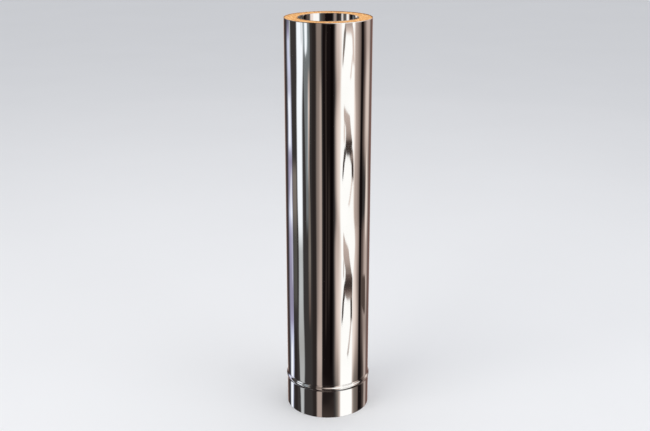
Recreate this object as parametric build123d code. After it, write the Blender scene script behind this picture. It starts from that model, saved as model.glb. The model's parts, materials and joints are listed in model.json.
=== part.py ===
from build123d import *

import os

# Double-wall chimney pipe section: a thin outer shell, a flue pipe inside it, and mineral wool between.
# Millimetres, +Z up. The origin is the centre of the lower rim, on the pipe's axis.
# The section stands on its lower end, where the shell is widened into a socket for the section below.

# Overall size
overall_length = 1050.0
shell_diameter = 220.0  # outside of the straight shell
flue_bore = 150.0  # clear way for the smoke

# Sheet thickness
shell_sheet = 0.5
flue_sheet = 0.8

# Lower end of the shell: a socket that slides over the section below, and a rolled bead above it
socket_depth = 76.0
socket_clearance = 0.15  # between the socket's inside and the shell that it takes, on the radius
bead_height = 16.0
bead_rise = 2.5  # crest of the bead above the straight shell

# Upper rim of the shell, rolled in a little so that it enters the next socket
rim_roll_height = 1.6
rim_roll_depth = 0.7

# Lower end of the flue pipe: a narrowed spigot that slides into the flue below, and a stop bead above it
spigot_clearance = 0.4  # between the spigot's outside and the bore that it enters, on the radius
spigot_lead_height = 4.0
spigot_lead_depth = 1.2
shoulder_height = 9.0
stop_bead_height = 10.0
stop_bead_rise = 1.8

# The wool, pushed in as a sleeve, and where the inner pieces end against the shell's rims
wool_clearance = 0.3  # between the wool and the shell's inside, on the radius
flue_below_upper_rim = 0.5
wool_below_upper_rim = 1.0
spigot_above_lower_rim = 2.0

# Radii and levels worked out from the values above
shell_radius = shell_diameter / 2
wool_radius = shell_radius - shell_sheet - wool_clearance
socket_radius = shell_radius + socket_clearance + shell_sheet
flue_inner_radius = flue_bore / 2
flue_radius = flue_inner_radius + flue_sheet
spigot_radius = flue_inner_radius - spigot_clearance

flue_top = overall_length - flue_below_upper_rim
wool_top = overall_length - wool_below_upper_rim
wool_bottom = socket_depth

# Points of the shell's outer face, as radius and height
socket_end = (socket_radius, socket_depth)
bead_crest = (shell_radius + bead_rise, socket_depth + bead_height / 2)
bead_end = (shell_radius, socket_depth + bead_height)
rim_roll_start = (shell_radius, overall_length - rim_roll_height)
rim = (shell_radius - rim_roll_depth, overall_length)

# Points of the flue pipe's outer face, as radius and height
spigot_tip = (spigot_radius - spigot_lead_depth, spigot_above_lower_rim)
spigot_lead_end = (spigot_radius, spigot_above_lower_rim + spigot_lead_height)
shoulder_start = (spigot_radius, wool_bottom)
shoulder_end = (flue_radius, wool_bottom + shoulder_height)
stop_bead_crest = (flue_radius + stop_bead_rise, shoulder_end[1] + stop_bead_height / 2)
stop_bead_end = (flue_radius, shoulder_end[1] + stop_bead_height)

upward = (0, 1)
downward = (0, -1)


def s_bend(low, high):
    """Two equal arcs that carry the sheet from one radius to another, upright at both ends."""
    middle = ((low[0] + high[0]) / 2, (low[1] + high[1]) / 2)
    return [TangentArc(low, middle, tangent=upward), TangentArc(high, middle, tangent=downward)]


def bead(foot, crest, end):
    """A rolled bead from its lower foot over its crest to its upper end."""
    return s_bend(foot, crest) + s_bend(crest, end)


def flue_wall(top):
    """The flue pipe's outer face over the wool's length: shoulder, stop bead and straight wall."""
    return [
        *s_bend(shoulder_start, shoulder_end),
        *bead(shoulder_end, stop_bead_crest, stop_bead_end),
        Line(stop_bead_end, (flue_radius, top)),
    ]


def rolled_sheet(outer_face, sheet):
    """The tube that a profile of its outer face gives, with the sheet on the inside.

    The profile's first edge runs upwards, because its direction sets the side that the sheet lies on.
    """
    section = make_face(offset(Wire(outer_face), amount=sheet, side=Side.LEFT))
    return revolve(Plane.XZ * section, Axis.Z)


def outer_shell():
    """Socket, bead, straight wall and rolled rim."""
    outer_face = [
        Line((socket_radius, 0), socket_end),
        *bead(socket_end, bead_crest, bead_end),
        Line(bead_end, rim_roll_start),
        TangentArc(rim_roll_start, rim, tangent=upward),
    ]
    return rolled_sheet(outer_face, shell_sheet)


def flue_pipe():
    """Spigot with its lead-in, then the shoulder, the stop bead and the straight wall."""
    outer_face = [
        Line(spigot_lead_end, shoulder_start),
        *flue_wall(flue_top),
        TangentArc(spigot_lead_end, spigot_tip, tangent=downward),
    ]
    return rolled_sheet(outer_face, flue_sheet)


def insulation():
    """Mineral wool that fills the space between the tubes, from the socket's end to just under the rim."""
    outline = [
        *flue_wall(wool_top),
        Line((flue_radius, wool_top), (wool_radius, wool_top)),
        Line((wool_radius, wool_top), (wool_radius, wool_bottom)),
        Line((wool_radius, wool_bottom), shoulder_start),
    ]
    return revolve(Plane.XZ * make_face(Wire(outline)), Axis.Z)


parts = {
    "outer_shell": outer_shell(),
    "insulation": insulation(),
    "flue_pipe": flue_pipe(),
}

os.makedirs("parts", exist_ok=True)
for name, part in parts.items():
    export_step(part, f"parts/{name}.step")
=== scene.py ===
"""Finish and studio for the double-wall chimney pipe section.

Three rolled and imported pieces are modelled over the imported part, in metres, +Z up, in the part's own frame:
the polished outer shell, the mineral wool packed inside it and the bright flue pipe in the middle. Round them
stands the studio, with a ring of cards of light and shade that only the steel mirrors.
"""

import json
import logging
import math
from collections.abc import Callable
from dataclasses import dataclass, field, replace
from enum import Enum
from typing import Protocol

import bpy
import numpy as np
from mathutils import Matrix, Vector


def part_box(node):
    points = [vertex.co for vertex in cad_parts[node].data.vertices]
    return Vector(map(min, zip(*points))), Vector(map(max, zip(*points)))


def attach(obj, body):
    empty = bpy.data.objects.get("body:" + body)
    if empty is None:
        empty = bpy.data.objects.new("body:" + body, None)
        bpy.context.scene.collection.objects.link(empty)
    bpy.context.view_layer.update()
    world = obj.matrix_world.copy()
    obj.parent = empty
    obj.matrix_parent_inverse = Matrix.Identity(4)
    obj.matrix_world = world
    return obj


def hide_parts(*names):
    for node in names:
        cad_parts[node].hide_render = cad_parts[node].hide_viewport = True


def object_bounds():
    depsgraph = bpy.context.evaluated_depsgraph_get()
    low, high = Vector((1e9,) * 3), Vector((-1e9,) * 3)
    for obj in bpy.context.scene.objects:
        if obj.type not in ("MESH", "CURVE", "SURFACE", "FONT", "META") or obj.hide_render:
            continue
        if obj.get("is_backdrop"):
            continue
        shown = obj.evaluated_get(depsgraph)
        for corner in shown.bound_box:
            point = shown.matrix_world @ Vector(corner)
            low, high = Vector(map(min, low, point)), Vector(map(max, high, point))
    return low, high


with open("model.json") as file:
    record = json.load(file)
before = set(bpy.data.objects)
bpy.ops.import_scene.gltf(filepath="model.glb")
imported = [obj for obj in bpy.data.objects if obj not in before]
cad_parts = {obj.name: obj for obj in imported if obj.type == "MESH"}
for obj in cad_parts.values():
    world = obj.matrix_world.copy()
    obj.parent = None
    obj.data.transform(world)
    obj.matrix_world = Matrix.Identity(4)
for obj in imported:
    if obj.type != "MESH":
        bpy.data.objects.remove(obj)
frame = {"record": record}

LOG = logging.getLogger("chimney_pipe")
BODY = "root"
MM = 0.001
SHELL_SHEET = 0.5 * MM
SOFT_BEND = 0.3 * MM  # short mesh step next to a bend, which keeps the shading of the straight wall flat
WOOL_INSET = 0.9 * MM  # from the flue's bore to the wool: the flue's sheet and 0.1 mm of room
CARD_SHELL = 1.05  # length of the shell that the heights of the cards' rows are given on
RUN_ON = 0.2  # how far past the pipe's ends a card's rows go where the card runs on
LOW, HIGH = -RUN_ON, CARD_SHELL + RUN_ON
CARD_LEVELS = 64
CARD_COLUMNS = 20
COLUMNS_PER_DEGREE = 1.3  # further columns of a card for each degree of its width
TUFT_WAVES = ((420, 0.3, 1.1), (910, 2.0, 0.5), (1730, 1.3, 2.9))  # rate in radians a metre, two phases
TUFT_PEAK = 1.75  # highest that the tuft waves add up to, each half as high as the last
SHARPEST = 0.01  # softness of a card's edge that is given as 0, in degrees

Point = tuple[float, float]
Triple = tuple[float, float, float]
Colour = Triple
Row = Triple  # height on the shell, and bearings of a card's left and right edges in degrees
Stop = tuple[float, "Tone"]  # height on the shell, or bearing in the flue, and the tone there
Relief = Callable[[np.ndarray, np.ndarray], np.ndarray]
Settings = dict[str, str | bool]
Socket = bpy.types.NodeSocket
Value = Socket | float | tuple[float, ...]


class Tone(Enum):
    """Colours of the cards as they look in the polished steel, in 8-bit red, green and blue."""

    WHITE = (255, 254, 251)
    CREAM = (240, 226, 217)
    SAND = (214, 196, 186)
    BEIGE = (186, 168, 159)
    TAUPE = (150, 134, 126)
    UMBER = (92, 78, 72)
    COFFEE = (62, 53, 49)
    PEAT = (80, 68, 62)
    DRIFTWOOD = (118, 110, 103)
    CLAY = (171, 154, 145)
    FAWN = (131, 117, 109)
    RUSSET = (110, 84, 78)
    BLACK = (20, 15, 15)
    JET = (8, 5, 5)
    RUST = (80, 60, 57)
    CHARCOAL = (56, 53, 52)
    SLATE = (80, 78, 74)
    STONE = (112, 116, 117)
    MIST = (158, 168, 171)
    SILVER = (184, 187, 188)
    ASH = (164, 164, 162)
    SOOT = (38, 32, 30)
    LILAC_GREY = (116, 114, 134)
    HEATHER = (146, 141, 165)
    LILAC = (158, 153, 180)
    LAVENDER = (188, 188, 206)
    PALE_LILAC = (202, 206, 228)
    COOL_WHITE = (246, 250, 254)

    def light(self, tint: Colour) -> Colour:
        """Works out the light that steel of a given tint shows as this colour.

        Args:
            tint: Share of red, green and blue that the steel gives back.

        Returns:
            Linear red, green and blue.
        """
        shares = [c / 255 for c in self.value]
        linear = [v / 12.92 if v <= 0.04045 else ((v + 0.055) / 1.055) ** 2.4 for v in shares]
        return tuple(v / t for v, t in zip(linear, tint))


@dataclass
class Outline:
    """A sheet's outer face in section, drawn from the bottom up as radius and height."""

    points: list[Point] = field(default_factory=list)

    def start(self, radius: float, height: float) -> "Outline":
        """Puts the first point down."""
        self.points.append((radius, height))
        return self

    def line(self, radius: float, height: float, steps: int = 1, hold: float = 0.0) -> "Outline":
        """Draws a straight stretch.

        Args:
            radius: Radius at the far end.
            height: Height at the far end.
            steps: Number of equal steps.
            hold: Length of a short extra step at each end, which keeps the shading flat up to a bend.

        Returns:
            The outline itself.
        """
        r0, z0 = self.points[-1]
        short = hold / math.hypot(radius - r0, height - z0)
        shares = [i / steps for i in range(1, steps) if short < i / steps < 1 - short]
        if hold:
            shares = [short, *shares, 1 - short]
        for t in [*shares, 1.0]:
            self.points.append((r0 + (radius - r0) * t, z0 + (height - z0) * t))
        return self

    def s_bend(self, radius: float, height: float, steps: int) -> "Outline":
        """Draws two equal arcs that are upright at both ends, as a roller leaves them.

        Args:
            radius: Radius at the far end.
            height: Height at the far end.
            steps: Number of steps in each arc.

        Returns:
            The outline itself.
        """
        r0, z0 = self.points[-1]
        dr, dz = (radius - r0) / 2, (height - z0) / 2
        bend = (dr * dr + dz * dz) / (2 * abs(dr))
        turn = 2 * math.atan2(abs(dr), dz)
        side = math.copysign(1.0, dr)
        arc = [turn * i / steps for i in range(1, steps + 1)]
        rise = [(side * bend * (1 - math.cos(a)), bend * math.sin(a)) for a in arc]
        self.points += [(r0 + r, z0 + z) for r, z in rise]
        back = [(0.0, 0.0)] + rise[:-1]
        self.points += [(radius - r, height - z) for r, z in reversed(back)]
        return self

    def quarter_in(self, depth: float, height: float, steps: int) -> "Outline":
        """Rolls the edge inwards along a quarter of an ellipse.

        Args:
            depth: How far in the edge goes.
            height: How far it rises meanwhile.
            steps: Number of steps.

        Returns:
            The outline itself.
        """
        r0, z0 = self.points[-1]
        for i in range(1, steps + 1):
            a = math.pi / 2 * i / steps
            self.points.append((r0 - depth * (1 - math.cos(a)), z0 + height * math.sin(a)))
        return self

    def as_sheet(self, thickness: float) -> np.ndarray:
        """Gives the closed section of a sheet that lies inside this outer face.

        Args:
            thickness: Sheet thickness in metres.

        Returns:
            Array of radius and height rows, round the section, with rounded sheet edges.
        """
        outer = np.array(self.points)
        slope = np.gradient(outer, axis=0)
        slope /= np.linalg.norm(slope, axis=1, keepdims=True)
        inward = np.stack([-slope[:, 1], slope[:, 0]], axis=1)
        inner = outer + inward * thickness
        top_edge = self._round_edge(outer[-1], inner[-1], slope[-1])
        bottom_edge = self._round_edge(inner[0], outer[0], -slope[0])
        return np.concatenate([outer, top_edge, inner[::-1], bottom_edge])

    @staticmethod
    def _round_edge(start: np.ndarray, end: np.ndarray, out: np.ndarray) -> np.ndarray:
        """Rounds the cut edge between two faces of a sheet with a low bulge.

        Args:
            start: End of the face that the edge leaves.
            end: Start of the face that it goes to.
            out: Unit direction out of the cut.

        Returns:
            Rows of radius and height between the two.
        """
        middle = (start + end) / 2
        half = np.linalg.norm(end - start) / 2
        across = (start - end) / 2
        bulge = out * half * 0.35
        angles = np.radians([45.0, 90.0, 135.0])
        return np.array([middle + across * np.cos(a) + bulge * np.sin(a) for a in angles])


@dataclass
class Lathe:
    """Turns a closed section about the pipe's axis into a mesh piece."""

    columns: int
    extra_bearings: tuple[float, ...] = ()

    def bearings(self) -> np.ndarray:
        """Works out where the mesh columns stand.

        Returns:
            Bearings in radians, with the extra ones in place of the even ones beside them.
        """
        even = np.linspace(-math.pi, math.pi, self.columns, endpoint=False)
        if not self.extra_bearings:
            return even
        extra = np.array(self.extra_bearings)
        nearest = np.abs(even[:, None] - extra[None, :]).min(axis=1)
        kept = even[nearest > 0.3 * 2 * math.pi / self.columns]
        return np.sort(np.concatenate([kept, extra]))

    def turn(self, name: str, section: np.ndarray, relief: Relief | None = None) -> bpy.types.Object:
        """Makes the turned piece.

        Args:
            name: Name of the piece.
            section: Closed loop of radius and height rows, anticlockwise seen with radius to the right.
            relief: Gives how far the sheet stands out at arrays of bearings and heights.

        Returns:
            The mesh object, linked to the scene.
        """
        around = self.bearings()
        rows, cols = len(section), len(around)
        phi = np.tile(around, (rows, 1))
        radius = np.repeat(section[:, :1], cols, axis=1)
        height = np.repeat(section[:, 1:], cols, axis=1)
        if relief is not None:
            radius = radius + relief(phi, height)
        points = np.stack([radius * np.sin(phi), -radius * np.cos(phi), height], axis=-1).reshape(-1, 3)
        row = np.arange(rows)[:, None]
        col = np.arange(cols)[None, :]
        next_row, next_col = (row + 1) % rows, (col + 1) % cols
        here, there = row * cols, next_row * cols
        corners = [here + col, here + next_col, there + next_col, there + col]
        faces = np.stack([np.broadcast_to(c, (rows, cols)) for c in corners], axis=-1)
        return mesh_piece(name, points, faces.reshape(-1, 4))


def mesh_piece(name: str, points: np.ndarray, faces: np.ndarray) -> bpy.types.Object:
    """Makes a smooth-shaded mesh object from arrays.

    Args:
        name: Name of the object and its mesh.
        points: Vertex rows x, y, z in metres.
        faces: Rows of vertex numbers, all with the same number of corners.

    Returns:
        The new object, linked to the scene.
    """
    mesh = bpy.data.meshes.new(name)
    mesh.from_pydata(points.tolist(), [], faces.tolist())
    mesh.shade_smooth()
    mesh.update()
    piece = bpy.data.objects.new(name, mesh)
    bpy.context.scene.collection.objects.link(piece)
    return piece


@dataclass
class NodeTable:
    """Short way to write a material's nodes: each call adds one node and gives its main output."""

    tree: bpy.types.NodeTree

    def add(self, kind: str, settings: Settings | None = None, **inputs: Value) -> bpy.types.Node:
        """Adds a node.

        Args:
            kind: Blender's node type.
            settings: Node properties to set.
            **inputs: Input values or output sockets, with spaces in socket names written as underscores.

        Returns:
            The new node.
        """
        node = self.tree.nodes.new(kind)
        for key, value in (settings or {}).items():
            setattr(node, key, value)
        for key, value in inputs.items():
            self.feed(node.inputs[key.replace("_", " ")], value)
        return node

    def feed(self, socket: Socket, value: Value) -> None:
        """Links an output socket to an input, or sets the input's own value.

        Args:
            socket: The input.
            value: Output socket, number or tuple.
        """
        if isinstance(value, Socket):
            self.tree.links.new(value, socket)
        else:
            socket.default_value = value

    def math(self, operation: str, first: Value, second: Value = 0.0, clamp: bool = False) -> Socket:
        """Adds a math node.

        Args:
            operation: Blender's name of the operation.
            first: First operand.
            second: Second operand.
            clamp: Whether the result is held between 0 and 1.

        Returns:
            The result's socket.
        """
        node = self.add("ShaderNodeMath", {"operation": operation, "use_clamp": clamp})
        self.feed(node.inputs[0], first)
        self.feed(node.inputs[1], second)
        return node.outputs[0]

    def noise(self, place: Value, scale: float, detail: float, roughness: float) -> Socket:
        """Adds a noise texture and gives its grey value."""
        node = self.add("ShaderNodeTexNoise", Vector=place, Scale=scale, Detail=detail, Roughness=roughness)
        return node.outputs["Fac"]

    def stretch(self, vector: Value, scale: Triple) -> Socket:
        """Scales a vector along each axis.

        Args:
            vector: The vector's socket.
            scale: Factors for x, y and z.

        Returns:
            The scaled vector's socket.
        """
        node = self.add("ShaderNodeVectorMath", {"operation": "MULTIPLY"})
        self.feed(node.inputs[0], vector)
        self.feed(node.inputs[1], scale)
        return node.outputs[0]

    def map_range(
        self, value: Value, low: float, high: float, to_low: float, to_high: float, smooth: bool = False,
    ) -> Socket:
        """Maps one range of values to another, clamped.

        Args:
            value: Socket or number to map.
            low: Start of the range that is read.
            high: End of the range that is read.
            to_low: Result at the start.
            to_high: Result at the end.
            smooth: Whether the result eases in and out.

        Returns:
            The mapped value's socket.
        """
        kind = "SMOOTHSTEP" if smooth else "LINEAR"
        node = self.add("ShaderNodeMapRange", {"interpolation_type": kind})
        for socket, given in zip(node.inputs, (value, low, high, to_low, to_high)):
            self.feed(socket, given)
        return node.outputs[0]

    def mix_colour(self, factor: Value, first: Value, second: Value) -> Socket:
        """Mixes two colours.

        Args:
            factor: Share of the second colour.
            first: First colour.
            second: Second colour.

        Returns:
            The mixed colour's socket.
        """
        node = self.add("ShaderNodeMix", {"data_type": "RGBA"})
        self.feed(node.inputs[0], factor)
        self.feed(node.inputs[6], first)
        self.feed(node.inputs[7], second)
        return node.outputs[2]

    def round_the_pipe(self, radius: float) -> Socket:
        """Gives the place on an unrolled sheet, in metres.

        Args:
            radius: Radius that the distance round is measured on.

        Returns:
            Socket of a vector: distance round from the front, nothing, and height.
        """
        place = self.add("ShaderNodeTexCoord").outputs["Object"]
        split = self.add("ShaderNodeSeparateXYZ", Vector=place)
        forward = self.math("MULTIPLY", split.outputs["Y"], -1.0)
        bearing = self.math("ARCTAN2", split.outputs["X"], forward)
        along = self.math("MULTIPLY", bearing, radius)
        return self.add("ShaderNodeCombineXYZ", X=along, Z=split.outputs["Z"]).outputs[0]


def new_material(name: str) -> tuple[bpy.types.Material, NodeTable, bpy.types.Node]:
    """Starts a material with an empty tree and one surface shader.

    Args:
        name: Name of the material.

    Returns:
        The material, its node table and its Principled shader, already linked to the output.
    """
    material = bpy.data.materials.new(name)
    material.use_nodes = True
    material.node_tree.nodes.clear()
    table = NodeTable(material.node_tree)
    shader = table.add("ShaderNodeBsdfPrincipled")
    table.add("ShaderNodeOutputMaterial", Surface=shader.outputs[0])
    return material, table, shader


def opaque(colour: Colour) -> tuple[float, ...]:
    """A colour with full alpha."""
    return (*colour, 1.0)


@dataclass(frozen=True)
class PolishedSteel:
    """Bright stainless sheet: a mirror with the faint upright lines of rolling and a few cloudy wipes."""

    name: str
    radius: float
    tint: Colour
    cloudy_tint: Colour
    clear_roughness: float
    cloudy_roughness: float
    line_depth: float
    line_stretch: Triple = (900.0, 1.0, 3.0)
    wipe_stretch: Triple = (9.0, 1.0, 4.0)
    anisotropy: float = 0.3
    quarter_turn: float = 0.25

    def make(self) -> bpy.types.Material:
        """Builds the material.

        Returns:
            The new material.
        """
        material, table, shader = new_material(self.name)
        sheet = table.round_the_pipe(self.radius)
        lines = table.noise(table.stretch(sheet, self.line_stretch), 1.0, 3.0, 0.6)
        wipes = table.noise(table.stretch(sheet, self.wipe_stretch), 1.0, 4.0, 0.55)
        cloud = table.map_range(wipes, 0.45, 0.75, 0.0, 1.0, smooth=True)
        tint = table.mix_colour(cloud, opaque(self.tint), opaque(self.cloudy_tint))
        table.feed(shader.inputs["Base Color"], tint)
        shader.inputs["Metallic"].default_value = 1.0
        half_span = (self.cloudy_roughness - self.clear_roughness) * 0.5
        lined = table.math("MULTIPLY_ADD", lines, half_span)
        lined.node.inputs[2].default_value = self.clear_roughness
        rough = table.math("MULTIPLY_ADD", cloud, half_span)
        table.feed(rough.node.inputs[2], lined)
        table.feed(shader.inputs["Roughness"], rough)
        shader.inputs["Anisotropic"].default_value = self.anisotropy
        shader.inputs["Anisotropic Rotation"].default_value = self.quarter_turn
        tangent = table.add("ShaderNodeTangent", {"direction_type": "RADIAL", "axis": "Z"})
        table.feed(shader.inputs["Tangent"], tangent.outputs[0])
        bump = table.add("ShaderNodeBump", Strength=1.0, Distance=self.line_depth, Height=lines)
        table.feed(shader.inputs["Normal"], bump.outputs[0])
        return material


@dataclass(frozen=True)
class MineralWool:
    """Bonded mineral wool: golden-brown fibres, paler where cut, with darker binder specks."""

    name: str = "mineral_wool"
    deep: Colour = (0.40, 0.155, 0.035)
    middle: Colour = (0.72, 0.32, 0.085)
    pale: Colour = (0.97, 0.57, 0.23)
    tuft_scale: float = 160.0
    grain_scale: float = 620.0
    fibre_scale: float = 900.0
    flattening: Triple = (1.0, 1.0, 0.4)
    pit_depth: float = 1.2 * MM

    def make(self) -> bpy.types.Material:
        """Builds the material.

        Returns:
            The new material.
        """
        material, table, shader = new_material(self.name)
        place = table.add("ShaderNodeTexCoord").outputs["Object"]
        tufts = table.noise(place, self.tuft_scale, 4.0, 0.6)
        grains = table.noise(place, self.grain_scale, 3.0, 0.7)
        laid = table.stretch(place, self.flattening)
        tangle = table.add("ShaderNodeTexNoise", Vector=laid, Scale=self.fibre_scale, Distortion=3.0)
        light = table.map_range(tufts, 0.40, 0.62, 0.0, 1.0, smooth=True)
        ground = table.mix_colour(light, opaque(self.middle), opaque(self.pale))
        speck = table.map_range(grains, 0.42, 0.32, 0.0, 0.85)
        table.feed(shader.inputs["Base Color"], table.mix_colour(speck, ground, opaque(self.deep)))
        shader.inputs["Roughness"].default_value = 0.95
        shader.inputs["Specular IOR Level"].default_value = 0.2
        shader.inputs["Sheen Weight"].default_value = 0.06
        shader.inputs["Sheen Roughness"].default_value = 0.6
        coarse = table.math("MULTIPLY", tufts, 0.6)
        fine = table.math("MULTIPLY", tangle.outputs["Fac"], 0.4)
        height = table.math("ADD", coarse, fine)
        bump = table.add("ShaderNodeBump", Strength=0.8, Distance=self.pit_depth, Height=height)
        table.feed(shader.inputs["Normal"], bump.outputs[0])
        return material


@dataclass
class OuterShell:
    """Polished outer tube: widened socket, rolled bead, long straight wall and a rolled-in upper rim."""

    length: float
    radius: float
    socket_radius: float
    socket_depth: float
    finish: PolishedSteel
    sheet: float = SHELL_SHEET
    bead_height: float = 16.0 * MM
    bead_rise: float = 2.5 * MM
    groove_height: float = 3.0 * MM
    groove_depth: float = 0.12 * MM
    rim_height: float = 1.6 * MM
    rim_depth: float = 0.9 * MM
    seam_bearing: float = math.radians(-55.0)
    seam_width: float = 1.4 * MM
    seam_height: float = 0.025 * MM
    seam_columns: int = 12
    columns: int = 360
    edge_room: float = 0.1 * MM
    calm_below_rim: float = 30.0 * MM
    calm_by_bead: float = 9.0 * MM
    bead_fade: float = 40.0 * MM

    def outline(self) -> Outline:
        """Draws the outer face of the sheet.

        Returns:
            Outline from the lower rim to the upper one.
        """
        crest = self.socket_depth + self.bead_height / 2
        bead_top = self.socket_depth + self.bead_height
        drawn = Outline().start(self.socket_radius, self.edge_room)
        drawn.line(self.socket_radius, self.socket_depth, steps=12, hold=SOFT_BEND)
        drawn.s_bend(self.radius + self.bead_rise, crest, steps=6)
        drawn.s_bend(self.radius, bead_top, steps=6)
        drawn.s_bend(self.radius - self.groove_depth, bead_top + self.groove_height / 2, steps=3)
        drawn.s_bend(self.radius, bead_top + self.groove_height, steps=3)
        drawn.line(self.radius, self.length - self.rim_height, steps=56, hold=SOFT_BEND)
        drawn.quarter_in(self.rim_depth, self.rim_height - self.edge_room, steps=6)
        return drawn

    def relief(self, bearing: np.ndarray, height: np.ndarray) -> np.ndarray:
        """Works out how far the thin sheet strays from a true tube, in three slow waves and the seam's ridge.

        Args:
            bearing: Bearings in radians.
            height: Heights in metres, same shape.

        Returns:
            Distances outwards in metres.
        """
        calm = np.clip((self.length - height) / self.calm_below_rim, 0.25, 1.0)
        crest = self.socket_depth + self.bead_height / 2
        calm = calm * smooth_step((np.abs(height - crest) - self.calm_by_bead) / self.bead_fade)
        slow = 0.16 * np.cos(5 * bearing + 0.9 + 1.7 * np.sin(3.1 * height))
        slow += 0.05 * np.cos(9 * bearing - 6.0 * height + 2.2)
        slow += 0.018 * np.cos(17 * bearing + 9.0 * height + 0.4)
        along_seam = (bearing - self.seam_bearing) * self.radius
        ridge = self.seam_height * np.exp(-((along_seam / (self.seam_width / 2)) ** 2))
        return calm * (slow * MM + ridge)

    def build(self) -> bpy.types.Object:
        """Makes the shell's mesh, with finer columns at the seam, and dresses it.

        Returns:
            The shell.
        """
        step = self.seam_width / 4 / self.radius
        beside = range(-self.seam_columns, self.seam_columns + 1)
        lathe = Lathe(self.columns, tuple(self.seam_bearing + step * i for i in beside))
        piece = lathe.turn("outer_shell_sheet", self.outline().as_sheet(self.sheet), self.relief)
        piece.data.materials.append(self.finish.make())
        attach(piece, BODY)
        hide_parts("outer_shell")
        return piece


@dataclass
class FluePipe:
    """Bright inner tube: narrowed spigot at the bottom, stop bead, and a plain wall up to the rim."""

    bore_radius: float
    spigot_radius: float
    bottom: float
    top: float
    spigot_top: float
    finish: PolishedSteel
    sheet: float = 0.8 * MM
    lead_height: float = 4.0 * MM
    lead_depth: float = 1.2 * MM
    shoulder_height: float = 9.0 * MM
    bead_height: float = 10.0 * MM
    bead_rise: float = 1.8 * MM
    edge_room: float = 0.2 * MM
    columns: int = 288

    def outline(self) -> Outline:
        """Draws the outer face of the sheet.

        Returns:
            Outline from the spigot's tip to the upper rim.
        """
        outside = self.bore_radius + self.sheet
        shoulder = self.spigot_top + self.shoulder_height
        drawn = Outline().start(self.spigot_radius - self.lead_depth, self.bottom)
        half_way = self.bottom + 0.5 * self.lead_height
        drawn.line(self.spigot_radius - 0.3 * self.lead_depth, half_way, steps=2)
        drawn.line(self.spigot_radius, self.bottom + self.lead_height, steps=2)
        drawn.line(self.spigot_radius, self.spigot_top, steps=6, hold=0.5 * MM)
        drawn.s_bend(outside, shoulder, steps=5)
        drawn.s_bend(outside + self.bead_rise, shoulder + self.bead_height / 2, steps=5)
        drawn.s_bend(outside, shoulder + self.bead_height, steps=5)
        drawn.line(outside, self.top - self.edge_room, steps=90, hold=SOFT_BEND)
        return drawn

    def relief(self, bearing: np.ndarray, height: np.ndarray) -> np.ndarray:
        """Works out how far the tube strays from true, in two slow waves.

        Args:
            bearing: Bearings in radians.
            height: Heights in metres, same shape.

        Returns:
            Distances outwards in metres.
        """
        slow = 0.05 * np.cos(4 * bearing + 2.0 * height) + 0.02 * np.cos(11 * bearing + 5.0 * height + 1.0)
        return slow * MM

    def build(self) -> bpy.types.Object:
        """Makes the flue pipe's mesh and dresses it.

        Returns:
            The flue pipe.
        """
        section = self.outline().as_sheet(self.sheet)
        piece = Lathe(self.columns).turn("flue_pipe_sheet", section, self.relief)
        piece.data.materials.append(self.finish.make())
        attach(piece, BODY)
        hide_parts("flue_pipe")
        return piece


@dataclass
class WoolPacking:
    """Sleeve of mineral wool between the tubes, with rough cut ends."""

    inner_radius: float
    outer_radius: float
    bottom: float
    top: float
    finish: MineralWool = MineralWool()
    end_rows: int = 30
    side_rows: int = 12
    droop: float = 0.9 * MM
    droop_reach: float = 1.6 * MM
    pit_depth: float = 0.8 * MM
    end_slack: float = 0.1 * MM
    seed: int = 41
    columns: int = 480

    def section(self) -> np.ndarray:
        """Draws the closed section, with both cut ends finely divided so that they can be made rough.

        Returns:
            Array of radius and height rows.
        """
        across = np.linspace(0.0, 1.0, self.end_rows)
        radii = self.outer_radius + (self.inner_radius - self.outer_radius) * across
        up = np.linspace(self.bottom, self.top, self.side_rows)[1:-1]
        outer_side = np.stack([np.full_like(up, self.outer_radius), up], axis=1)
        top_end = np.stack([radii, np.full_like(radii, self.top)], axis=1)
        inner_side = np.stack([np.full_like(up, self.inner_radius), up[::-1]], axis=1)
        bottom_end = np.stack([radii[::-1], np.full_like(radii, self.bottom)], axis=1)
        return np.concatenate([outer_side, top_end, inner_side, bottom_end])

    def roughen(self, piece: bpy.types.Object) -> None:
        """Pulls the cut ends into tufts and pits, always towards the wool.

        Args:
            piece: The sleeve.
        """
        count = len(piece.data.vertices)
        flat = np.zeros(count * 3)
        piece.data.vertices.foreach_get("co", flat)
        points = flat.reshape(-1, 3)
        dice = np.random.default_rng(self.seed)
        radius = np.hypot(points[:, 0], points[:, 1])
        from_edge = np.minimum(self.outer_radius - radius, radius - self.inner_radius)
        edge_droop = self.droop * np.exp(-from_edge / self.droop_reach)
        tufts = sum(
            0.5 ** octave * np.sin(points[:, 0] * k + p) * np.sin(points[:, 1] * k * 1.1 + q)
            for octave, (k, p, q) in enumerate(TUFT_WAVES)
        )
        roughness = 0.45 * (1 - tufts / TUFT_PEAK) + 0.5 * dice.random(count)
        pit = roughness * self.pit_depth + edge_droop
        at_top = points[:, 2] > self.top - self.end_slack
        at_bottom = points[:, 2] < self.bottom + self.end_slack
        points[at_top, 2] -= pit[at_top]
        points[at_bottom, 2] += pit[at_bottom]
        piece.data.vertices.foreach_set("co", points.ravel())
        piece.data.update()

    def build(self) -> bpy.types.Object:
        """Makes the sleeve's mesh and dresses it.

        Returns:
            The sleeve.
        """
        piece = Lathe(self.columns).turn("mineral_wool_sleeve", self.section())
        self.roughen(piece)
        piece.data.materials.append(self.finish.make())
        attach(piece, BODY)
        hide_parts("insulation")
        return piece


def smooth_step(share: np.ndarray) -> np.ndarray:
    """Eases shares from 0 to 1, and holds them there outside."""
    held = np.clip(share, 0.0, 1.0)
    return held * held * (3.0 - 2.0 * held)


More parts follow.
